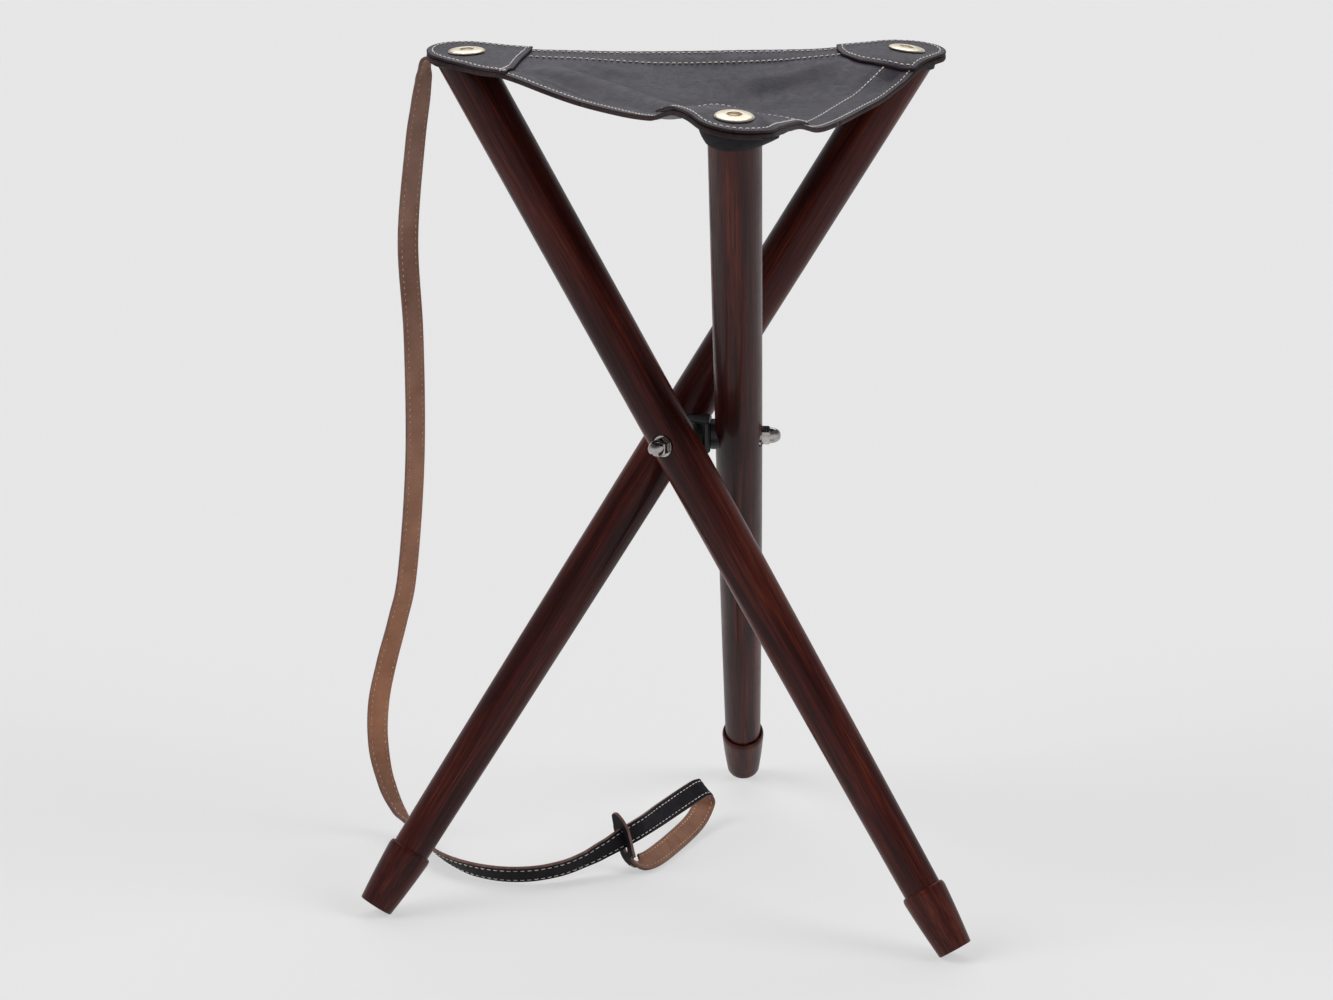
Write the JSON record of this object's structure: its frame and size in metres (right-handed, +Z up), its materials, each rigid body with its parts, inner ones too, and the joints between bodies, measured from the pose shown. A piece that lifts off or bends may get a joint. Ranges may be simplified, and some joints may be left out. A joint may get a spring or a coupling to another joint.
{
  "type": "folding tripod stool",
  "caption": "Folding hunting stool: turned, stained wooden legs on a three-way pivot, a sagging black leather seat screwed to the leg tops, and a carrying strap ending in a noose.",
  "frame": {"origin": "middle of the stool's footprint on the floor, measured without the loose strap", "axes": "+Z up; leg C's pivot stud points along +X"},
  "size_m": [0.4927, 0.501, 0.6574],
  "materials": {
    "stained_wood": "dark red-brown stain under gloss lacquer",
    "black_leather": "satin, finished edges",
    "strap_leather": "black grain side, tan flesh side",
    "black_polymer": "moulded, slight sheen",
    "bright_steel": "bright plated",
    "brass": "polished, slightly aged"
  },
  "bodies": {
    "hub": {"pivot_hub": "black_polymer", "seat_panel": "black_leather", "strap": "strap_leather", "stud_a": "bright_steel", "stud_b": "bright_steel", "stud_c": "bright_steel", "washer_a": "bright_steel", "washer_b": "bright_steel", "washer_c": "bright_steel", "acorn_nut_a": "bright_steel", "acorn_nut_b": "bright_steel", "acorn_nut_c": "bright_steel"},
    "leg_a": {"leg_a": "stained_wood", "foot_a": "stained_wood", "saddle_a": "black_polymer", "corner_cap_a": "black_leather", "corner_pocket_a": "black_leather", "cup_washer_a": "brass", "seat_screw_a": "brass"},
    "leg_b": {"leg_b": "stained_wood", "foot_b": "stained_wood", "saddle_b": "black_polymer", "corner_cap_b": "black_leather", "corner_pocket_b": "black_leather", "cup_washer_b": "brass", "seat_screw_b": "brass"},
    "leg_c": {"leg_c": "stained_wood", "foot_c": "stained_wood", "saddle_c": "black_polymer", "corner_cap_c": "black_leather", "corner_pocket_c": "black_leather", "cup_washer_c": "brass", "seat_screw_c": "brass"}
  },
  "joints": [
    {"name": "leg_a_fold", "type": "hinge", "parent": "hub", "child": "leg_a", "pos_m": [0, -0.04925, 0.36901], "axis": [0.5, 0.866, 0], "range_deg": [0, 35.8], "deforming": ["seat_panel", "strap", "corner_cap_a"]},
    {"name": "leg_b_fold", "type": "hinge", "parent": "hub", "child": "leg_b", "pos_m": [0, 0.00704, 0.36901], "axis": [0.5, -0.866, 0], "range_deg": [0, 35.8], "deforming": ["corner_cap_b"]},
    {"name": "leg_c_fold", "type": "hinge", "parent": "hub", "child": "leg_c", "pos_m": [0.04875, -0.0211, 0.36901], "axis": [-1, 0, 0], "range_deg": [0, 35.8], "deforming": ["corner_cap_c"]}
  ],
  "couplings": [
    {"joint": "leg_b_fold", "follows": "leg_a_fold", "ratio": 1},
    {"joint": "leg_c_fold", "follows": "leg_a_fold", "ratio": 1}
  ]
}
